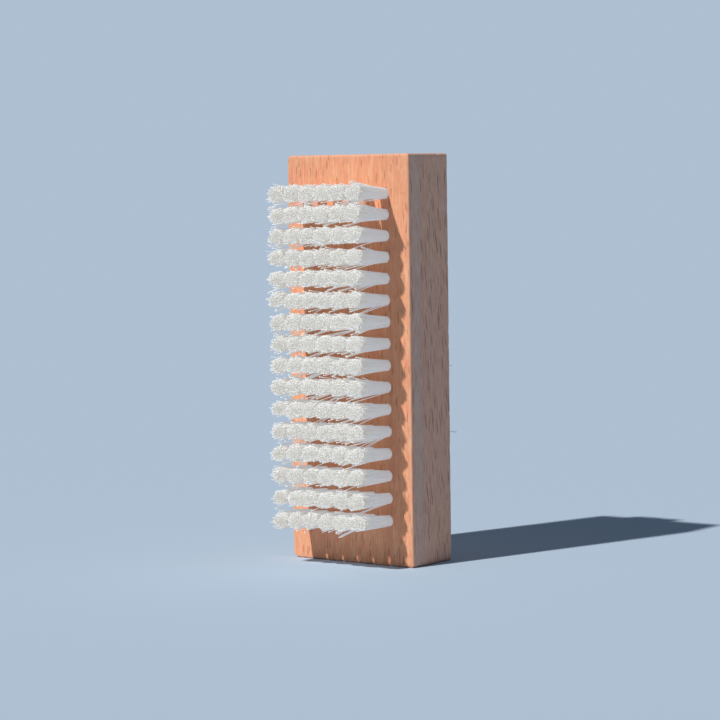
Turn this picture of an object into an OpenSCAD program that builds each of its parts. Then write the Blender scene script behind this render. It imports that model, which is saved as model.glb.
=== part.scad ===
// Nail brush: a plain beech block with nylon tufts on both of its broad faces.
// Each tuft is a bundle folded over a flat metal anchor and set in its own drilled hole.
// The brush stands on one end, as stored beside a basin: length along +Z, front face towards -Y,
// +X to the right seen from the front. The origin is the middle of the end that it stands on.
// All sizes are in millimetres.

/* [Block] */
// Length of the block, which is its height as it stands
block_l = 95; // [90:1:100]
// Width of the block across its broad faces
block_w = 35.3; // [32:0.1:40]
// Thickness of the block between its broad faces
block_t = 15.4; // [14.6:0.1:18]
// Radius of the eased edges along the block's length
long_edge_r = 0.4; // [0.2:0.1:1.2]
// Radius of the eased edges across the two ends
end_edge_r = 0.4; // [0.2:0.1:1.2]
// Radius of the two well sanded corners at the left, seen from the front
left_corner_r = 1.3; // [0.6:0.1:2.4]
// Radius of the two corners at the right
right_corner_r = 0.6; // [0.3:0.1:1.2]

/* [Tuft field] */
// Rows of tufts along the block, the same number on both faces
tuft_rows = 16; // [12:1:17]
// Tufts in each row of the front face
front_columns = 6; // [4:1:6]
// Tufts in each row of the back face, the narrow strip for the nails
back_columns = 3; // [2:1:4]
// Mean distance from row to row
row_pitch = 5.03; // [4.7:0.01:5.4]
// How much further apart each two rows are than the two above them
row_growth = 0.027; // [0:0.001:0.035]
// Distance from tuft to tuft within a row
column_pitch = 4.6; // [4.3:0.05:5]
// Height of the field's middle above the block's middle
field_rise = 0.75; // [0:0.05:1.5]
// Distance of the field's middle from the block's middle, towards -X
field_shift = 0.95; // [0:0.05:1.5]

/* [Holes] */
// Depth of a front hole down to its drill point
front_hole_depth = 6; // [5:0.1:6.6]
// Depth of a back hole down to its drill point
back_hole_depth = 5.2; // [4.4:0.1:5.8]
// Gap between a tuft's root and the wall of its hole
root_clearance = 0.1; // [0.05:0.01:0.15]
// Included angle of the drill's point, in degrees
drill_angle = 118; // [100:2:140]

/* [Tufts] */
// Diameter of a tuft's root
tuft_d = 2.6; // [2.2:0.05:2.7]
// Reach of the front bristles beyond the block's face
front_reach = 12; // [9:0.5:15]
// Reach of the back bristles beyond the block's face
back_reach = 10; // [7:0.5:13]
// Least clear gap between the tips of one row and those of the next
row_gap = 1.2; // [0.5:0.1:1.8]
// Clear gap between the tips of neighbouring tufts in a row
tuft_gap = 0.3; // [0.2:0.05:0.8]
// Height of the leftmost front tufts' tips above their roots, as use has bent them
left_rise = -0.15; // [-0.5:0.05:1]
// The same for the rightmost front tufts
right_rise = 0.4; // [-0.5:0.05:1]
// Most by which a strand ends short of the full reach
tip_loss = 1.3; // [0.5:0.1:2]
// Depth of a root's top below the block's face
root_recess = 0.5; // [0.3:0.1:1]
// Length of a strand that is bonded into its root
root_bond = 1; // [0.6:0.1:1.4]

/* [Anchors] */
// Height of an anchor's flat wire, along its hole
anchor_h = 1.5; // [1.2:0.1:1.8]
// Thickness of an anchor's flat wire
anchor_t = 0.4; // [0.3:0.05:0.5]
// Depth that each end of an anchor bites into the wood
anchor_bite = 0.35; // [0.2:0.05:0.5]
// Height of an anchor above the start of the drill point
anchor_lift = 0.3; // [0.2:0.05:0.6]
// Gap round an anchor in its tuft and in the wood
anchor_clearance = 0.05; // [0.03:0.01:0.08]

/* [Hidden] */
// Strands of a front tuft and of a back tuft
front_strands = 4;
back_strands = 2;
// A strand's four-sided section, as shares of the tuft's radius at that height
inner_share = 0.12;
side_share = 0.88;
// Angle left open between neighbouring strands of a tuft, in degrees
strand_split = 14;
// A strand's spread inside its root, as a share of the root's radius
base_share = 0.88;
// How much of the tip loss goes to the whole strand, the rest to its single corners
strand_loss_share = 0.6;
// The narrowest that a strand's tip spreads, as a share of the room it has
tip_spread_share = 0.86;
// Sides of the arcs of the eased edges, and of a hole
arc_fn = 48;
hole_fn = 32;
// Cuts run this far past the surface that they open
overrun = 1;

hole_d = tuft_d + 2 * root_clearance;
drill_slope = tan(drill_angle / 2);
anchor_l = hole_d + 2 * anchor_bite;
// Distance between the top two rows, the closest ones, and the room that it leaves each tuft's tips
least_row_pitch = row_pitch - row_growth * (tuft_rows / 2 - 1);
tip_half_x = (column_pitch - tuft_gap) / 2;
tip_half_y = (least_row_pitch - row_gap) / 2;

wood_color = [0.88, 0.62, 0.46];
nylon_color = [0.93, 0.94, 0.95];
anchor_color = [0.80, 0.66, 0.36];

function two_digits(n) = n < 10 ? str("0", n) : str(n);
function front_name(row) = str("front_tuft_row_", two_digits(row));
function back_name(row) = str("back_tuft_row_", two_digits(row));

// Height of a row, counted from the top, and place and tip rise of a column, counted from -X
function row_z(row) =
    let (above_middle = (tuft_rows + 1) / 2 - row)
    block_l / 2 + field_rise + above_middle * row_pitch
        + row_growth / 2 * (pow((tuft_rows - 1) / 2, 2) - pow(above_middle, 2));
function column_x(column, columns) =
    (column - (columns + 1) / 2) * column_pitch - field_shift;
function front_rise(column) =
    left_rise + (right_rise - left_rise) * (column - 1) / (front_columns - 1);

// Both place a tuft's parts, which are drawn with the block's face at z = 0 and the reach along +Z
module on_front(column, row)
    translate([column_x(column, front_columns), -block_t / 2, row_z(row)])
        rotate([90, 0, 0])
            children();

module on_back(column, row)
    translate([column_x(column, back_columns), block_t / 2, row_z(row)])
        rotate([-90, 0, 0])
            children();

// A rectangle about the origin whose corners are true arcs
module eased_rectangle(width, height, radius) {
    square([width - 2 * radius, height], center = true);
    square([width, height - 2 * radius], center = true);
    for (x = [-1, 1], y = [-1, 1])
        translate([x * (width / 2 - radius), y * (height / 2 - radius)])
            circle(r = radius, $fn = arc_fn);
}

// The block seen from the front: the larger corners are those of a wider rectangle's left side
module front_outline()
    intersection() {
        eased_rectangle(block_w, block_l, right_corner_r);
        translate([left_corner_r, 0])
            eased_rectangle(block_w + 2 * left_corner_r, block_l, left_corner_r);
    }

// The block before drilling: its outline from the front, from the end and from the side
module eased_block()
    translate([0, 0, block_l / 2])
        intersection() {
            rotate([90, 0, 0])
                linear_extrude(block_t + 2 * overrun, center = true)
                    front_outline();
            linear_extrude(block_l + 2 * overrun, center = true)
                eased_rectangle(block_w, block_t, long_edge_r);
            rotate([0, 90, 0])
                linear_extrude(block_w + 2 * overrun, center = true)
                    eased_rectangle(block_l, block_t, end_edge_r);
        }

// A round form with a drill point: from `top` down to `depth`, and on to the point
module drilled_form(radius, top, depth)
    rotate_extrude($fn = hole_fn)
        polygon([
            [0, -depth - radius / drill_slope],
            [radius, -depth],
            [radius, top],
            [0, top]
        ]);

// A block as large as an anchor, with `play` more on every side
module anchor_form(depth, play)
    translate([0, 0, anchor_lift + anchor_h / 2 - depth])
        cube([anchor_l + 2 * play, anchor_t + 2 * play, anchor_h + 2 * play], center = true);

// A drilled hole, with the two cuts that an anchor's ends make in its wall
module tuft_hole(depth) {
    drilled_form(hole_d / 2, overrun, depth);
    anchor_form(depth, anchor_clearance);
}

module block()
    color(wood_color)
        difference() {
            eased_block();
            for (row = [1 : tuft_rows]) {
                for (column = [1 : front_columns])
                    on_front(column, row) tuft_hole(front_hole_depth);
                for (column = [1 : back_columns])
                    on_back(column, row) tuft_hole(back_hole_depth);
            }
        }

// The root of a tuft: the folded filaments, packed round the window that the anchor passes through
module tuft_root(depth) {
    point_gap = root_clearance / sin(drill_angle / 2) - root_clearance / drill_slope;
    difference() {
        drilled_form(tuft_d / 2, -root_recess, depth - point_gap);
        anchor_form(depth, anchor_clearance);
    }
}

// A ring of a strand: its section at heights `z`, spread over an ellipse of half-axes `half`
// whose middle lies `rise` above the tuft's axis
function strand_ring(angle, half_angle, half, z, spread, rise = 0) =
    let (
        radii = [inner_share, side_share, 1, side_share],
        angles = [angle, angle - half_angle, angle, angle + half_angle]
    )
    [for (i = [0 : 3])
        [half.x * spread * radii[i] * cos(angles[i]),
         half.y * spread * radii[i] * sin(angles[i]) + rise,
         z[i]]];

// One strand: four flaring sides from inside the root to an uneven tip
module strand(angle, half_angle, reach, rise, chance) {
    root_half = base_share * tuft_d / 2;
    strand_end = reach - tip_loss * strand_loss_share * chance[0];
    corner_loss = tip_loss * (1 - strand_loss_share);
    tip_z = [for (i = [1 : 4]) strand_end - corner_loss * chance[i]];
    base_z = [for (i = [1 : 4]) -root_recess - root_bond];
    tip_spread = tip_spread_share + (1 - tip_spread_share) * chance[5];
    polyhedron(
        points = concat(
            strand_ring(angle, half_angle, [root_half, root_half], base_z, 1),
            strand_ring(angle, half_angle, [tip_half_x, tip_half_y], tip_z, tip_spread, rise)
        ),
        faces = concat(
            [[0, 1, 2], [0, 2, 3], [4, 7, 6], [4, 6, 5]],
            [for (i = [0 : 3]) [i, i + 4, (i + 1) % 4 + 4]],
            [for (i = [0 : 3]) [i, (i + 1) % 4 + 4, (i + 1) % 4]]
        ),
        convexity = 2
    );
}

// A tuft: its root in the hole, and the strands that fan out of it
module tuft(depth, reach, rise, strands, seed) {
    strand_angle = 360 / strands;
    first_angle = rands(0, strand_angle, 1, seed)[0];
    tuft_root(depth);
    for (i = [0 : strands - 1])
        strand(
            first_angle + i * strand_angle,
            (strand_angle - strand_split) / 2,
            reach,
            rise,
            rands(0, 1, 6, seed + i + 1)
        );
}

// Tufts take their chance numbers from their row and column, so no two are alike
function tuft_seed(row, column) = 1000 * row + 10 * column;

module front_tuft_row(row)
    color(nylon_color)
        for (column = [1 : front_columns])
            on_front(column, row)
                tuft(front_hole_depth, front_reach, front_rise(column), front_strands,
                    tuft_seed(row, column));

module back_tuft_row(row)
    color(nylon_color)
        for (column = [1 : back_columns])
            on_back(column, row)
                tuft(back_hole_depth, back_reach, 0, back_strands,
                    tuft_seed(row, -column));

module front_anchors()
    color(anchor_color)
        for (row = [1 : tuft_rows], column = [1 : front_columns])
            on_front(column, row) anchor_form(front_hole_depth, 0);

module back_anchors()
    color(anchor_color)
        for (row = [1 : tuft_rows], column = [1 : back_columns])
            on_back(column, row) anchor_form(back_hole_depth, 0);

block();
front_anchors();
back_anchors();
for (row = [1 : tuft_rows]) {
    front_tuft_row(row);
    back_tuft_row(row);
}
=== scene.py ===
"""Nail brush: the looks of a beech block with nylon tufts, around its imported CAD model.

Sizes are in millimetres in the part's own frame, until Blender gets a mesh in metres.
"""
import math

import bpy
import numpy as np
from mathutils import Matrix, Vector, noise

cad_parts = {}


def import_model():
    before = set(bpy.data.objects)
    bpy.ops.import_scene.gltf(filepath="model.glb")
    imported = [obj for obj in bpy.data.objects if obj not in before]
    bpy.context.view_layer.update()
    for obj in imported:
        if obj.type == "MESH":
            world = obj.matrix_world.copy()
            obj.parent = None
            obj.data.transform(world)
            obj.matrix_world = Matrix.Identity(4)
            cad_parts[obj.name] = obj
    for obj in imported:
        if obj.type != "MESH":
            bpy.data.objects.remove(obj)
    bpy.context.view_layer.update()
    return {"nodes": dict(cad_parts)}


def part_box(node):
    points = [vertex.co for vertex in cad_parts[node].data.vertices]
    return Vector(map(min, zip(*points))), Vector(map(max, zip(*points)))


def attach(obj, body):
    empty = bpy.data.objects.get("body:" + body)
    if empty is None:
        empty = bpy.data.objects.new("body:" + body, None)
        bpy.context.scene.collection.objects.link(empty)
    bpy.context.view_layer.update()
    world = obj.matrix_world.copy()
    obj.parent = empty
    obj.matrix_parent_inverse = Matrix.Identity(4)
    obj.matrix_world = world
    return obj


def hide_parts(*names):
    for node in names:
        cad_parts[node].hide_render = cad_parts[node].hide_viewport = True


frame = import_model()

MM = 0.001
BODY = "root"

# The block, from its CAD node
BLOCK_LOW, BLOCK_HIGH = (np.array(corner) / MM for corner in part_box("block"))
BLOCK_W, BLOCK_T, BLOCK_L = BLOCK_HIGH - BLOCK_LOW

# The tuft field: its rows from the CAD nodes' names, and its places from the CAD anchors
ROWS = len([name for name in frame["nodes"] if name.startswith("front_tuft_row")])
FRONT_COLUMNS = 6
BACK_COLUMNS = 3


def middles(node, axis, count):
    """Middles of the `count` lines of like solids in a CAD node, along an axis, lowest first."""
    mesh = frame["nodes"][node].data
    places = np.empty(3 * len(mesh.vertices))
    mesh.vertices.foreach_get("co", places)
    return np.sort(places[axis::3]).reshape(count, -1).mean(1) / MM


ROW_Z = middles("front_anchors", 2, ROWS)[::-1]     # row 1 is the top one
FRONT_X = middles("front_anchors", 0, FRONT_COLUMNS)
BACK_X = middles("back_anchors", 0, BACK_COLUMNS)
COLUMN_PITCH = FRONT_X[1] - FRONT_X[0]

# The wood's eased edges, and its corners seen from the front: radii along X and along Z
EDGE_R = 0.4
EDGE_ARC = range(0, 91, 18)     # where the grid lines lie round an eased edge, in degrees
CORNERS = {(-1, 1): (1.3, 1.3), (1, 1): (0.6, 0.6), (-1, -1): (1.0, 2.2), (1, -1): (0.7, 0.9)}
GRID_STEP = 0.6         # between grid lines outside the tuft field
BAND_STEP = 0.4         # between grid lines through the block's thickness
CELL_STEPS = 8          # grid steps across a tuft's cell, each way

# A tuft hole, and its rings from its cell inwards: how far outside its wall, and how deep
HOLE_R = 1.4
HOLE_RINGS = [(0.45, 0), (0.07, 0), (0.02, 0.02), (0, 0.07), (0, 1.2), (0, 2.6), (0, 4.2)]

# Wear of the block: how deep each kind goes, how large its forms are along X, Y and Z, the value
# of its noise (-1 to 1) up to which there is none, and the noise's seed
WAVES = {"depth": 0.02, "size": (5, 5, 12), "least": -1, "seed": 7}
RUBBING = {"depth": 0.1, "size": (2.5, 2.5, 4), "least": 0, "seed": 31}
DENTS = {"depth": 0.4, "size": (1.1, 1.1, 1.6), "least": 0.35, "seed": 53}
TEARS = {"depth": 0.55, "size": (0.9, 0.75, 2), "least": -0.05, "seed": 77}
WEAR_REACH = 0.5        # how far in from a face its wear goes
TEAR_REACH = 0.4        # how far up from the foot its torn fibres go

# Nylon filaments
FILAMENT_R = 0.11
FILAMENT_SIDES = 5      # not 4, which mesh_piece would shade smooth at a filament's ends
ROOT_DEPTH = 4.0        # how deep filaments start in their hole
RING_SHARES = (0.0, 0.4, 0.75, 0.985, 1.0)  # rings along a filament, as shares of its reach
TIP_SHARE = 1.35        # radius of a cut tip, as a share of its filament's
PAINTED_GLOW = 0.1       # painted glow: faint light that the nylon gives off by itself, to brighten it in shade

# Tufts. Two numbers are across and up.
TUFT_R = 1.31           # where a tuft leaves its hole
TUFT_RINGS = 9          # rings of filaments round the middle one
DOME = np.array([0.15, 0.25])               # how far the outermost tips are cut back
SQUARENESS = 0.2        # how far the tips fill a square: 0 a round head, 1 a square one
SHEAR = 0.3             # how far the upper tips sit to the right, as a share of their height
FLARE_POWER = np.array([2.8, 1.2])          # how late a tuft widens
FRINGE = 0.17           # mean spread of the outermost filaments, as a share of their place
END_FRINGE = 0.24       # the same for the first tuft of a row, which is more ragged
END_SHARE = 0.88        # its flare, as a share of the others'

# Chance differences: of a tuft from its row, then of a filament from its tuft
FLARE_RANGE = ((0.9, 0.96), (1.1, 1.04))    # least and most, as shares of the flare
LEAN_SPREAD = (0.15, 0.1)
TIP_SPREAD = 0.1
LENGTH_SPREAD = 0.02
BOW_SPREAD = 0.03       # halfway along

# Strays leave a tuft's outer ring in clumps of 1 to 3. Two numbers are the least and the most.
OUTER_SHARE = 0.95      # the outer ring begins at this share of the tuft's radius
UNDERSIDE = -0.3        # strays that fall leave the ring below this height, the others above it
FALL_SHARE = 0.82       # share of the clumps that fall
DROP = (0.6, 2.2)       # how far their tips fall
RISE = (0.3, 1.1)       # how far the others' tips rise
STRAY_ACROSS = (-0.6, 1.0)                  # how far they lean across: its mean and its spread
CLUMP_DRAW = 0.6        # how far the filaments of a clump draw together, as a share
CLUMP_SPREAD = 0.04     # between the tips of a clump
STRAY_POWER = (1.1, 1.8)                    # how late they bend
STRAY_BOW_SPREAD = 0.1  # halfway along, the same for a whole clump
CLUMP_SHORT = 1.2       # the most that a clump falls short
STRAY_SHORT = 0.5       # the most that a filament falls short of its clump

# The filaments that stick out past the block's edge: how they bow, and how far they reach
WILD_BOW = (-0.6, 0)
WILD_REACH = 8.4

# Both fields: out is the face's direction along Y, reach is how far tips stand out of the face,
# tip_half is how far a tuft's tips spread across and up, lean is how far they are bent across and
# up in the first and the last column, strays is the mean number of a tuft's stray clumps, and wild
# gives for some rows, 0 at the top, how far across and up one filament of the last tuft bends
FRONT = {
    "prefix": "front_tuft_row", "columns": FRONT_X, "out": -1, "face": BLOCK_LOW[1],
    "reach": 12.1, "tip_half": (2.2, 1.68), "lean": ((0.75, 0.05), (-0.15, 0.5)), "strays": 1.6,
    "seed": 100, "wild": {},
}
BACK = {
    "prefix": "back_tuft_row", "columns": BACK_X, "out": 1, "face": BLOCK_HIGH[1],
    "reach": 10.1, "tip_half": (2.1, 1.7), "lean": ((0, 0.1), (0, 0.1)), "strays": 1.2,
    "seed": 500, "wild": {8: (7.3, -1.5), 11: (8.5, -2.1)},
}


def mesh_piece(name, vertices, faces, material, slot, *nodes):
    """A piece from points in millimetres, which replaces CAD nodes.

    Its four-sided faces are shaded smooth, and all others, such as filaments' ends, flat.
    """
    mesh = bpy.data.meshes.new(name)
    mesh.from_pydata((np.asarray(vertices) * MM).tolist(), [], faces)
    mesh.polygons.foreach_set("use_smooth", [len(face) == 4 for face in faces])
    mesh.materials.append(material)
    mesh.update()
    piece = bpy.data.objects.new(name, mesh)
    bpy.context.scene.collection.objects.link(piece)
    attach(piece, BODY)
    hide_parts(*nodes)


# Materials

# Forms of the beech along X, Y and Z, and how they are turned and how deep they go
BANDS = (3.2, 6, 70)
STREAKS = (0.7, 0.7, 7)
PATCHES = (1.6, 1.6, 3.4)
FIBRE = (0.26, 0.26, 3.5)
GRIT = (0.15, 0.15, 0.3)
PORES = (0.4, 0.4, 2.2)
FACE_DASHES = (0.6, 0.6, 3.6)
SIDE_DASHES = (3, 0.44, 5.8)
GRAIN_TURN = (0, 0.5, 0)        # of the grain, in degrees about X, Y and Z
SIDE_TURN = (8, 0, 0)           # of the dashes on the block's X sides
WOOD_RELIEF = 0.06
PALE_EDGE_WIDTH = 0.8               # how far in from an edge the wood is paler

# The smooth grey band on the X sides: its middle, and how far from that it is full and ends
BAND_Y = -4.9
BAND_FULL = 0.8
BAND_END = 1.8

# Nylon and brass
NYLON_SHADES = (0.5, 9, 0.5)    # forms of its slight changes of shade
TIP_COLOUR = (7.0, 11.5)        # where the tips' colour begins and is full, out of a face
NYLON_SCATTER = 0.9             # how far light spreads inside a filament
WIRE_LINES = (4, 0.05, 0.05)    # forms of the lines that drawing leaves on brass


class Nodes:
    """A small helper that adds nodes to a material and joins them."""

    def __init__(self, name):
        self.material = bpy.data.materials.new(name)
        self.material.use_nodes = True
        self.tree = self.material.node_tree
        self.shader = self.tree.nodes["Principled BSDF"]
        self.place = self.add("ShaderNodeTexCoord").outputs["Object"]

    def add(self, kind, **settings):
        node = self.tree.nodes.new(kind)
        for key, value in settings.items():
            setattr(node, key, value)
        return node

    def join(self, output, socket):
        self.tree.links.new(output, socket)

    def set(self, socket, value):
        """Gives a socket another node's output, or a number or colour of its own."""
        if isinstance(value, bpy.types.NodeSocket):
            self.join(value, socket)
        else:
            socket.default_value = value

    def shade(self, values):
        """Sets the surface shader's sockets by their names."""
        for name, value in values.items():
            self.set(self.shader.inputs[name], value)

    def math(self, operation, a, b=0.0):
        node = self.add("ShaderNodeMath", operation=operation)
        self.set(node.inputs[0], a)
        self.set(node.inputs[1], b)
        return node.outputs[0]

    def along(self, axis):
        """The object coordinate along X, Y or Z, in metres."""
        node = self.add("ShaderNodeSeparateXYZ")
        self.join(self.place, node.inputs["Vector"])
        return node.outputs[axis]

    def stretched(self, size, turn=(0, 0, 0)):
        """Turned object coordinates in which a form of `size` millimetres is one unit large."""
        node = self.add("ShaderNodeMapping", vector_type="TEXTURE")
        self.join(self.place, node.inputs["Vector"])
        node.inputs["Scale"].default_value = [MM * s for s in size]
        node.inputs["Rotation"].default_value = [math.radians(a) for a in turn]
        return node.outputs["Vector"]

    def noise(self, size, detail=2.0, turn=(0, 0, 0), rough=0.5):
        """Smooth noise from 0 to 1, with forms of `size` millimetres."""
        node = self.add("ShaderNodeTexNoise")
        self.join(self.stretched(size, turn), node.inputs["Vector"])
        node.inputs["Scale"].default_value = 1.0
        node.inputs["Detail"].default_value = detail
        node.inputs["Roughness"].default_value = rough
        return node.outputs["Fac"]

    def ramp(self, value, low, high, to_low=0.0, to_high=1.0):
        """A smooth step: to_low where the value is at low, to_high where it is at high."""
        node = self.add("ShaderNodeMapRange", interpolation_type="SMOOTHSTEP")
        self.set(node.inputs["Value"], value)
        for key, number in zip(("From Min", "From Max", "To Min", "To Max"),
                               (low, high, to_low, to_high)):
            node.inputs[key].default_value = number
        return node.outputs["Result"]

    def mix(self, factor, a, b):
        """Colour a where the factor is 0, and b where it is 1."""
        node = self.add("ShaderNodeMix", data_type="RGBA")
        self.set(node.inputs["Factor"], factor)
        self.set(node.inputs["A"], a)
        self.set(node.inputs["B"], b)
        return node.outputs["Result"]

    def bump(self, height, distance, strength):
        """The slope of a relief that is `distance` millimetres deep."""
        node = self.add("ShaderNodeBump")
        self.join(height, node.inputs["Height"])
        node.inputs["Distance"].default_value = distance * MM
        node.inputs["Strength"].default_value = strength
        return node.outputs["Normal"]


def srgb(red, green, blue):
    """A colour as it reads on screen, 0 to 255, in the linear values that Blender takes."""
    def linear(c):
        c /= 255
        return c / 12.92 if c <= 0.04045 else ((c + 0.055) / 1.055) ** 2.4
    return (linear(red), linear(green), linear(blue), 1.0)


def flecks(nodes, size, low, high, turn, soft=0.06):
    """Spindle-shaped dashes along the grain: 1 in a dash, 0 between dashes.

    Each has a chance radius from low to high, as a share of `size`; below 0 there is none. Its
    rim is `soft` wide, as a share too.
    """
    cells = nodes.add("ShaderNodeTexVoronoi")
    nodes.join(nodes.stretched(size, turn), cells.inputs["Vector"])
    cells.inputs["Scale"].default_value = 1.0
    chance = nodes.add("ShaderNodeSeparateColor")
    nodes.join(cells.outputs["Color"], chance.inputs["Color"])
    reach = nodes.ramp(chance.outputs["Red"], 0.0, 1.0, low, high)
    edge = nodes.math("SUBTRACT", reach, cells.outputs["Distance"])
    return nodes.ramp(edge, 0.0, soft)


def near_faces(nodes, width):
    """How near a point is to the block's X, Y and Z faces: 1 at a face, 0 `width` below it."""
    height = nodes.math("SUBTRACT", nodes.along("Z"), BLOCK_L / 2 * MM)
    from_middle = (nodes.along("X"), nodes.along("Y"), height)
    return [nodes.ramp(nodes.math("ABSOLUTE", place), (size / 2 - width) * MM, size / 2 * MM)
            for place, size in zip(from_middle, (BLOCK_W, BLOCK_T, BLOCK_L))]


def beech():
    """Bare sanded beech: pinkish tan, fine fibre, soft bands and short darker dashes."""
    nodes = Nodes("beech")
    bands = nodes.noise(BANDS, detail=3, turn=GRAIN_TURN)
    streaks = nodes.noise(STREAKS, detail=3, turn=GRAIN_TURN)
    patches = nodes.noise(PATCHES, detail=2, turn=GRAIN_TURN)
    fibre = nodes.noise(FIBRE, detail=4, turn=GRAIN_TURN, rough=0.65)
    grit = nodes.noise(GRIT, detail=2)
    face_dashes = flecks(nodes, FACE_DASHES, -0.25, 0.38, GRAIN_TURN)
    side_dashes = flecks(nodes, SIDE_DASHES, -0.5, 0.46, SIDE_TURN, soft=0.12)
    pores = flecks(nodes, PORES, -0.15, 0.36, GRAIN_TURN, soft=0.15)

    # The X sides are cut across the rays: slanting dashes, more marked fibre and a smooth grey
    # band.
    # They are also greyer all over, which is painted shade: the cool grey of a side turned from the
    # lamp
    near_x, near_y, near_z = near_faces(nodes, PALE_EDGE_WIDTH)
    sides = nodes.math("MULTIPLY", near_x, nodes.math("SUBTRACT", 1.0, near_y))
    off_band = nodes.math("ABSOLUTE", nodes.math("SUBTRACT", nodes.along("Y"), BAND_Y * MM))
    band = nodes.math("MULTIPLY", sides, nodes.ramp(off_band, BAND_END * MM, BAND_FULL * MM))
    on_side = nodes.math("MULTIPLY", side_dashes, nodes.math("SUBTRACT", sides, band))
    on_face = nodes.math("MULTIPLY", face_dashes, nodes.math("SUBTRACT", 1.0, sides))
    fibre_share = nodes.math("ADD", 0.3, nodes.math("MULTIPLY", sides, 0.3))

    # Edges are paler, and the end grain is a little darker
    long_edges = nodes.math("MULTIPLY", near_x, near_y)
    end_edges = nodes.math("MULTIPLY", near_z, nodes.math("MAXIMUM", near_x, near_y))
    edges = nodes.math("MAXIMUM", long_edges, end_edges)
    ends = nodes.math("SUBTRACT", near_z, edges)

    # Layers of colour over the soft bands, the lowest first: how much of each shows, and which
    layers = [
        (nodes.ramp(patches, 0.5, 0.7, to_high=0.5), srgb(236, 172, 124)),
        (nodes.ramp(patches, 0.5, 0.3, to_high=0.5), srgb(244, 150, 112)),
        (nodes.ramp(streaks, 0.5, 0.75, to_high=0.4), srgb(212, 130, 91)),
        (nodes.ramp(streaks, 0.5, 0.25, to_high=0.4), srgb(250, 180, 137)),
        # painted shade: the X sides greyed all over
        (nodes.math("MULTIPLY", sides, 0.6), srgb(225, 192, 177)),
        (nodes.math("MULTIPLY", band, 0.45), srgb(210, 194, 188)),
        (nodes.math("MULTIPLY", nodes.ramp(fibre, 0.47, 0.68), fibre_share), srgb(198, 122, 90)),
        (nodes.ramp(fibre, 0.5, 0.3, to_high=0.5), srgb(255, 198, 158)),
        (nodes.math("MULTIPLY", pores, 0.4), srgb(196, 118, 86)),
        (nodes.math("MULTIPLY", on_face, 0.5), srgb(162, 86, 62)),
        (nodes.math("MULTIPLY", on_side, 0.7), srgb(150, 98, 80)),
        (nodes.ramp(grit, 0.4, 0.75, to_high=0.22), srgb(255, 218, 190)),
        (nodes.math("MULTIPLY", edges, 0.35), srgb(252, 205, 176)),
        (nodes.math("MULTIPLY", ends, 0.3), srgb(196, 126, 92)),
    ]
    tone = nodes.mix(nodes.ramp(bands, 0.3, 0.7), srgb(231, 150, 108), srgb(243, 165, 121))
    for amount, colour in layers:
        tone = nodes.mix(amount, tone, colour)

    dashes = nodes.math("MAXIMUM", on_face, on_side)
    pits = nodes.math("ADD", dashes, nodes.math("MULTIPLY", pores, 0.5))
    relief = nodes.math("SUBTRACT", nodes.math("ADD", fibre, grit), pits)
    nodes.shade({
        "Base Color": tone,
        "Roughness": nodes.ramp(fibre, 0.2, 0.8, 0.62, 0.78),
        "Specular IOR Level": 0.3,
        "Normal": nodes.bump(relief, WOOD_RELIEF, 0.6),
    })
    return nodes.material


def nylon():
    """White nylon filament that light passes through: cool at the sides, creamy at the tips, and
    with a faint painted glow of its own.
    """
    nodes = Nodes("nylon_bristle")
    out = nodes.math("ABSOLUTE", nodes.along("Y"))
    tips = nodes.ramp(out, *((BLOCK_T / 2 + height) * MM for height in TIP_COLOUR))
    shades = nodes.noise(NYLON_SHADES, detail=1)
    side = nodes.mix(shades, srgb(248, 250, 253), srgb(252, 253, 254))
    tip = nodes.mix(shades, srgb(245, 242, 235), srgb(250, 247, 240))
    tone = nodes.mix(tips, side, tip)
    nodes.shade({
        "Base Color": tone,
        "Roughness": nodes.ramp(tips, 0, 1, 0.36, 0.6),
        "IOR": 1.53,
        "Subsurface Weight": 1.0,
        "Subsurface Radius": (1.0, 1.0, 1.0),
        "Subsurface Scale": NYLON_SCATTER * MM,
        # The emission is a painted glow in the nylon's own colour, not light from any lamp
        "Emission Color": tone,
        "Emission Strength": PAINTED_GLOW,
    })
    return nodes.material


def brass():
    """Drawn flat wire of the anchors, sealed inside the block."""
    nodes = Nodes("anchor_wire")
    drawn = nodes.noise(WIRE_LINES, detail=2)
    nodes.shade({
        "Base Color": nodes.mix(drawn, srgb(196, 160, 84), srgb(222, 190, 116)),
        "Roughness": nodes.ramp(drawn, 0.2, 0.8, 0.25, 0.45),
        "Metallic": 1.0,
    })
    return nodes.material


# The block

def spaced(low, high, step):
    """Evenly spaced lines from low to high, no further apart than a step."""
    return np.linspace(low, high, math.ceil((high - low) / step) + 1)


def grid_lines(low, high, field):
    """Grid lines along one axis: close together over the edges, even ones, and the field's own."""
    arc = [EDGE_R * (1 - math.cos(math.radians(angle))) for angle in EDGE_ARC]
    lines = [low + np.array(arc), spaced(low + EDGE_R, field[0], GRID_STEP), field,
             spaced(field[-1], high - EDGE_R, GRID_STEP), high - np.array(arc)]
    return np.unique(np.concatenate(lines).round(5))


def cell_lines(bounds):
    """Grid lines of a row of cells, from the cells' bounds."""
    cells = [np.linspace(low, high, CELL_STEPS + 1) for low, high in zip(bounds, bounds[1:])]
    return np.unique(np.concatenate(cells).round(5))


def field_lines():
    """Grid lines of the block's broad faces, along X and along Z."""
    half = COLUMN_PITCH / 2
    columns = np.append(FRONT_X - half, FRONT_X[-1] + half)
    between = (ROW_Z[:-1] + ROW_Z[1:]) / 2
    rows = np.concatenate([[2 * ROW_Z[0] - between[0]], between, [2 * ROW_Z[-1] - between[-1]]])
    return (grid_lines(BLOCK_LOW[0], BLOCK_HIGH[0], cell_lines(columns)),
            grid_lines(BLOCK_LOW[2], BLOCK_HIGH[2], cell_lines(rows[::-1])))


def ring_faces(outer, inner):
    """Four-sided faces between two closed loops of points, given by their numbers."""
    after = np.roll(outer, -1), np.roll(inner, -1)
    return np.stack([outer, after[0], after[1], inner], 1).tolist()


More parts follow.
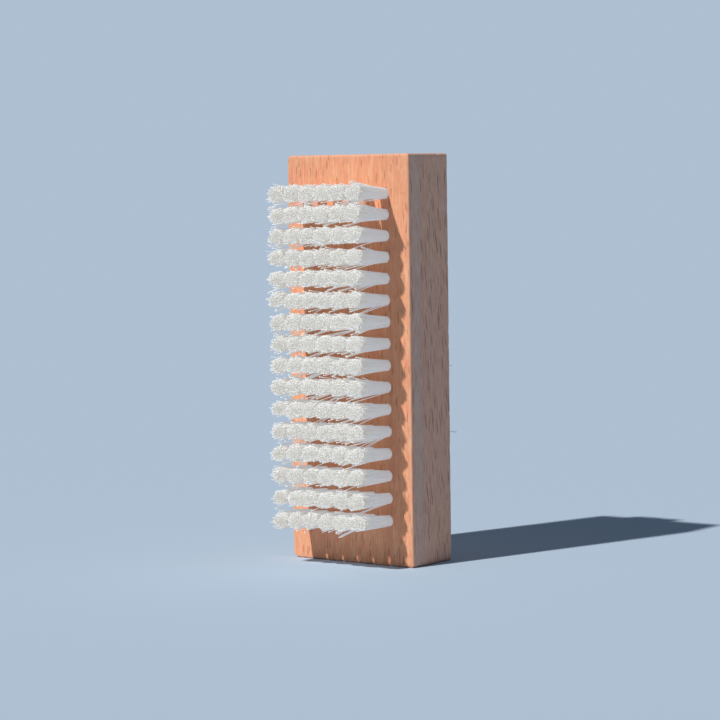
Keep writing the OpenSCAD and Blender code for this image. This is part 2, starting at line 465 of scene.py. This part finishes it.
def drilled_sheet(xs, zs, holes):
    """A broad face with its holes, as points (x, z, depth below the face), and its faces."""
    width = len(xs)
    points = [np.stack([*(a.ravel() for a in np.meshgrid(xs, zs)), np.zeros(width * len(zs))], 1)]
    total = len(points[0])
    whole = np.ones((len(zs) - 1, width - 1), bool)
    faces = []

    # Each hole's cell is cut out of the grid, and rings of points lead from its rim into the hole
    step = np.arange(CELL_STEPS)
    first, last = np.zeros(CELL_STEPS, int), np.full(CELL_STEPS, CELL_STEPS)
    corner_angle = math.radians(225)        # of a cell's lower left corner, where its loop starts
    angle = corner_angle + np.arange(4 * CELL_STEPS) * math.tau / (4 * CELL_STEPS)
    for x, z in holes:
        i = np.argmin(np.abs(xs - x)) - CELL_STEPS // 2
        j = np.argmin(np.abs(zs - z)) - CELL_STEPS // 2
        whole[j:j + CELL_STEPS, i:i + CELL_STEPS] = False
        across = i + np.concatenate([step, last, CELL_STEPS - step, first])
        up = j + np.concatenate([first, step, last, CELL_STEPS - step])
        loop = up * width + across
        for gap, depth in HOLE_RINGS:
            radius = HOLE_R + gap
            points.append(np.stack([x + radius * np.cos(angle), z + radius * np.sin(angle),
                                    np.full(len(angle), depth)], 1))
            ring = total + np.arange(len(angle))
            total += len(angle)
            faces += ring_faces(loop, ring)
            loop = ring
        faces.append(loop.tolist())

    up, across = np.nonzero(whole)
    corner = up * width + across
    faces += np.stack([corner, corner + 1, corner + width + 1, corner + width], 1).tolist()
    return np.concatenate(points), faces


def ease_outline(sheet):
    """Rounds a sheet's corners in place, and sinks its rim over the eased edge."""
    x, z = sheet[:, 0], sheet[:, 1]
    gaps_x = {-1: x - BLOCK_LOW[0], 1: BLOCK_HIGH[0] - x}
    gaps_z = {-1: z - BLOCK_LOW[2], 1: BLOCK_HIGH[2] - z}
    gap = np.minimum(np.minimum(gaps_x[-1], gaps_x[1]), np.minimum(gaps_z[-1], gaps_z[1]))
    moved_x, moved_z = x.copy(), z.copy()

    # In a corner's rectangle, the L-shaped lines of points are drawn in to arcs round its middle
    for (side, end), (radius_x, radius_z) in CORNERS.items():
        u = 1 - gaps_x[side] / radius_x
        v = 1 - gaps_z[end] / radius_z
        inside = (u > 0) & (v > 0)
        u, v = u[inside], v[inside]
        most = np.maximum(u, v)
        draw = 1 - most / np.hypot(u, v)
        moved_x[inside] -= side * radius_x * u * draw
        moved_z[inside] -= end * radius_z * v * draw
        gap[inside] = (1 - most) * (radius_x * u ** 2 + radius_z * v ** 2) / (u ** 2 + v ** 2)
    rim = np.clip(EDGE_R - gap, 0, EDGE_R)
    sunk = EDGE_R - np.sqrt(EDGE_R ** 2 - rim ** 2)
    sheet[:, 0], sheet[:, 1] = moved_x, moved_z
    sheet[:, 2] += sunk


def worn_off(points, depth, size, least, seed):
    """How deep one kind of wear goes at points: smooth noise, over its least value."""
    places = points / np.array(size) + seed
    chances = np.array([noise.noise(Vector(place)) for place in places])
    return depth * np.maximum(0, chances - least)


def wear(points):
    """Sanding and use: slightly wavy faces, uneven edges with small dents, and a ragged foot.

    `near` is 1 at a face and falls to 0 inwards, and `edge` is 1 where two faces are near.
    """
    low, high = points - BLOCK_LOW, BLOCK_HIGH - points
    inwards = np.where(low < high, 1, -1)
    near = np.exp(-(np.minimum(low, high) / WEAR_REACH) ** 2)
    ranked = np.sort(near, 1)
    edge = ranked[:, 1] * ranked[:, 2]
    depth = worn_off(points, **WAVES)
    depth += edge * (worn_off(points, **RUBBING) + worn_off(points, **DENTS))
    worn = points + inwards * near * depth[:, None]
    foot = np.exp(-(points[:, 2] / TEAR_REACH) ** 2) * np.maximum(near[:, 0], near[:, 1])
    worn[:, 2] += foot * worn_off(points, **TEARS)
    return worn


def block(material):
    """The worn block with its tuft holes, as one closed surface."""
    xs, zs = field_lines()
    front, front_faces = drilled_sheet(xs, zs, [(x, z) for z in ROW_Z for x in FRONT_X])
    back, back_faces = drilled_sheet(xs, zs, [(x, z) for z in ROW_Z for x in BACK_X])
    ease_outline(front)
    ease_outline(back)
    width, height = len(xs), len(zs)
    outline = np.concatenate([
        np.arange(width - 1), np.arange(height - 1) * width + width - 1,
        height * width - 1 - np.arange(width - 1), (height - 1 - np.arange(height - 1)) * width,
    ])
    points = [np.stack([front[:, 0], BLOCK_LOW[1] + front[:, 2], front[:, 1]], 1),
              np.stack([back[:, 0], BLOCK_HIGH[1] - back[:, 2], back[:, 1]], 1)]
    faces = front_faces + [[len(front) + i for i in reversed(face)] for face in back_faces]

    # Rings of points round the block's sides join the two broad faces
    total = len(front) + len(back)
    loop = outline
    for y in spaced(BLOCK_LOW[1] + EDGE_R, BLOCK_HIGH[1] - EDGE_R, BAND_STEP)[1:-1]:
        points.append(np.stack([front[outline, 0], np.full(len(outline), y),
                                front[outline, 1]], 1))
        ring = total + np.arange(len(outline))
        total += len(outline)
        faces += ring_faces(ring, loop)
        loop = ring
    faces += ring_faces(len(front) + outline, loop)
    mesh_piece("beech_block", wear(np.concatenate(points)), faces, material, "beech", "block")


# The bristles

def packed_disc(rng, radius, rings):
    """Places of filaments packed in rings round a middle one."""
    places = [np.zeros((1, 2))]
    for ring in range(1, rings + 1):
        count = int(math.tau * ring)
        angle = rng.uniform(0, math.tau) + np.arange(count) * math.tau / count
        places.append(radius * ring / rings * np.stack([np.cos(angle), np.sin(angle)], 1))
    return np.concatenate(places)


def tuft_paths(rng, field, lean, first, wild):
    """The filaments of one tuft, as their rings' places and the slants of their tips.

    Both are across and up, seen from the front, and the places are also out of the face.
    """
    disc_r = TUFT_R - FILAMENT_R
    base = packed_disc(rng, disc_r, TUFT_RINGS)
    count = len(base)
    share = np.linalg.norm(base, axis=1) / disc_r
    flare = np.array(field["tip_half"]) / TUFT_R * rng.uniform(*FLARE_RANGE)
    flare *= END_SHARE if first else 1
    square = (np.hypot(*base.T) / np.maximum(np.abs(base).max(1), 0.01)) ** SQUARENESS
    spread = base * (flare * square[:, None] - 1) + rng.normal(lean, LEAN_SPREAD)
    spread[:, 0] += SHEAR * flare[1] * base[:, 1]
    spread += rng.normal(0, TIP_SPREAD, (count, 2))
    fringe = END_FRINGE if first else FRINGE
    spread += base * rng.exponential(fringe, (count, 1)) * share[:, None] ** 3
    dome = (DOME * (base / disc_r) ** 2).sum(1)
    slants = -2 * DOME * base / disc_r ** 2 / flare
    reach = field["reach"] - dome - np.abs(rng.normal(0, LENGTH_SPREAD, count))
    bow = rng.normal(0, BOW_SPREAD, (count, 2))
    power = np.tile(FLARE_POWER, (count, 1))

    outer = np.flatnonzero(share > OUTER_SHARE)
    for _ in range(rng.poisson(field["strays"])):
        falls = rng.random() < FALL_SHARE
        middle = rng.choice(np.flatnonzero((base[outer, 1] < UNDERSIDE) == falls))
        clump = outer[(middle + np.arange(rng.integers(1, 4))) % len(outer)]
        drop = rng.uniform(*DROP) if falls else -rng.uniform(*RISE)
        spread[clump] += [rng.normal(*STRAY_ACROSS), -drop]
        spread[clump] += CLUMP_DRAW * (base[clump].mean(0) - base[clump])
        spread[clump] += rng.normal(0, CLUMP_SPREAD, (len(clump), 2))
        power[clump] = rng.uniform(*STRAY_POWER)
        bow[clump] += rng.normal(0, STRAY_BOW_SPREAD, 2)
        reach[clump] -= rng.uniform(0, CLUMP_SHORT) + rng.uniform(0, STRAY_SHORT, len(clump))
    if wild:
        stray = outer[np.argmax(base[outer, 0])]
        spread[stray] = wild
        bow[stray] = WILD_BOW
        reach[stray] = WILD_REACH

    rings = [np.concatenate([base, np.full((count, 1), -ROOT_DEPTH)], 1)]
    for s in RING_SHARES:
        across = base + spread * s ** power + bow * math.sin(math.pi * s)
        rings.append(np.concatenate([across, (reach * s)[:, None]], 1))
    return np.stack(rings, 1), slants


def tubes(paths, slants, radius, sides):
    """Closed tubes along the paths, with slanting last ends, as points and faces."""
    count, rings, _ = paths.shape
    angle = np.arange(sides) * math.tau / sides
    circle = np.stack([np.cos(angle), np.zeros(sides), np.sin(angle)], 1) * radius
    widths = np.ones(rings)
    widths[-1] = TIP_SHARE
    points = paths[:, :, None, :] + circle[None, None] * widths[None, :, None, None]
    points[:, -1, :, 1] += slants @ circle[:, [0, 2]].T
    start = (np.arange(count) * rings * sides)[:, None, None]
    ring = (np.arange(rings - 1) * sides)[None, :, None]
    side = np.arange(sides)[None, None, :]
    after = (side + 1) % sides
    quads = np.stack([start + ring + side, start + ring + after,
                      start + ring + sides + after, start + ring + sides + side], 3)
    faces = quads.reshape(-1, 4).tolist()
    first = start[:, 0] + np.arange(sides)[None, ::-1]
    last = start[:, 0] + (rings - 1) * sides + np.arange(sides)[None]
    return points.reshape(-1, 3), faces + first.tolist() + last.tolist()


def bristle_row(field, row, material):
    """One row of tufts, which replaces its CAD node."""
    rng = np.random.default_rng(field["seed"] + row)
    columns = field["columns"]
    wild = field["wild"].get(row)
    paths, slants = [], []
    for x, lean in zip(columns, np.linspace(*field["lean"], len(columns))):
        tuft, slant = tuft_paths(rng, field, lean, x == columns[0],
                                 wild if x == columns[-1] else None)
        across, up, out = np.moveaxis(tuft, 2, 0)
        slants.append(field["out"] * slant)
        paths.append(np.stack([x + across, field["face"] + field["out"] * out,
                               ROW_Z[row] + up], 2))
    points, faces = tubes(np.concatenate(paths), np.concatenate(slants), FILAMENT_R, FILAMENT_SIDES)
    if field["out"] < 0:
        faces = [face[::-1] for face in faces]
    node = f"{field['prefix']}_{row + 1:02d}"
    mesh_piece(f"{node}_filaments", points, faces, material, "nylon_bristle", node)


# The stage

SUN_FROM = Vector((-0.18, -0.66, 0.73)).normalized()
SUN_STRENGTH = 3.1
SUN_SOFTNESS = 1.5      # the lamp's width as seen from the brush, in degrees
WORLD_LIGHT = np.array([0.10, 0.13, 0.17])  # a slightly cool fill
FLOOR_REACH = 3.0       # from its middle each way, in metres
FLOOR_COLOUR = srgb(190, 206, 221)

# The camera, fitted to the block's outline in the photograph
CAMERA_PLACE = Vector((366.3, -482.9, 89.8))
CAMERA_TURN = (85.955, 0.807, 37.334)       # about X, Y and Z, in degrees
LENS = 129.5
SENSOR = 36


def floor():
    """A plain pale floor, without gloss, so that its colour is even up to its far edge."""
    mesh = bpy.data.meshes.new("floor")
    mesh.from_pydata([(x * FLOOR_REACH, y * FLOOR_REACH, 0) for x, y in
                      ((-1, -1), (1, -1), (1, 1), (-1, 1))], [], [(0, 1, 2, 3)])
    nodes = Nodes("floor")
    nodes.shade({"Base Color": FLOOR_COLOUR, "Roughness": 1.0, "Specular IOR Level": 0.0})
    mesh.materials.append(nodes.material)
    plane = bpy.data.objects.new("floor", mesh)
    bpy.context.scene.collection.objects.link(plane)


def world():
    """Even light from all round. Camera, gloss and glass see the lit floor's colour instead."""
    scene_world = bpy.data.worlds.new("studio")
    bpy.context.scene.world = scene_world
    scene_world.use_nodes = True
    tree = scene_world.node_tree
    glow = tree.nodes["Background"]
    glow.inputs["Color"].default_value = (*WORLD_LIGHT, 1)
    glow.inputs["Strength"].default_value = 1.0
    seen = tree.nodes.new("ShaderNodeBackground")
    lit = WORLD_LIGHT + SUN_STRENGTH * SUN_FROM.z / math.pi
    seen.inputs["Color"].default_value = (*(lit * FLOOR_COLOUR[:3]), 1)
    seen.inputs["Strength"].default_value = 1.0
    path = tree.nodes.new("ShaderNodeLightPath")
    direct = path.outputs["Is Camera Ray"]
    for ray in ("Is Glossy Ray", "Is Transmission Ray"):
        either = tree.nodes.new("ShaderNodeMath")
        either.operation = "MAXIMUM"
        tree.links.new(direct, either.inputs[0])
        tree.links.new(path.outputs[ray], either.inputs[1])
        direct = either.outputs[0]
    pick = tree.nodes.new("ShaderNodeMixShader")
    tree.links.new(direct, pick.inputs["Fac"])
    tree.links.new(glow.outputs["Background"], pick.inputs[1])
    tree.links.new(seen.outputs["Background"], pick.inputs[2])
    tree.links.new(pick.outputs["Shader"], tree.nodes["World Output"].inputs["Surface"])


def key_light():
    """One lamp with soft-edged shadows, high in front of the brush and a little to its left."""
    lamp = bpy.data.lights.new("key", "SUN")
    lamp.energy = SUN_STRENGTH
    lamp.angle = math.radians(SUN_SOFTNESS)
    holder = bpy.data.objects.new("key", lamp)
    bpy.context.scene.collection.objects.link(holder)
    holder.rotation_euler = (-SUN_FROM).to_track_quat("-Z", "Y").to_euler()


def camera():
    """The photograph's view: a long lens, a little above the brush's middle."""
    data = bpy.data.cameras.new("camera")
    data.sensor_width = SENSOR
    data.lens = LENS
    holder = bpy.data.objects.new("camera", data)
    bpy.context.scene.collection.objects.link(holder)
    holder.location = CAMERA_PLACE * MM
    holder.rotation_euler = [math.radians(angle) for angle in CAMERA_TURN]
    bpy.context.scene.camera = holder


camera()
floor()
world()
key_light()

block(beech())
wire = brass()
for name in ("front_anchors", "back_anchors"):
    frame["nodes"][name].data.materials.clear()
    frame["nodes"][name].data.materials.append(wire)

white = nylon()
for row in range(ROWS):
    bristle_row(FRONT, row, white)
    bristle_row(BACK, row, white)

bpy.context.scene.view_settings.view_transform = "Standard"
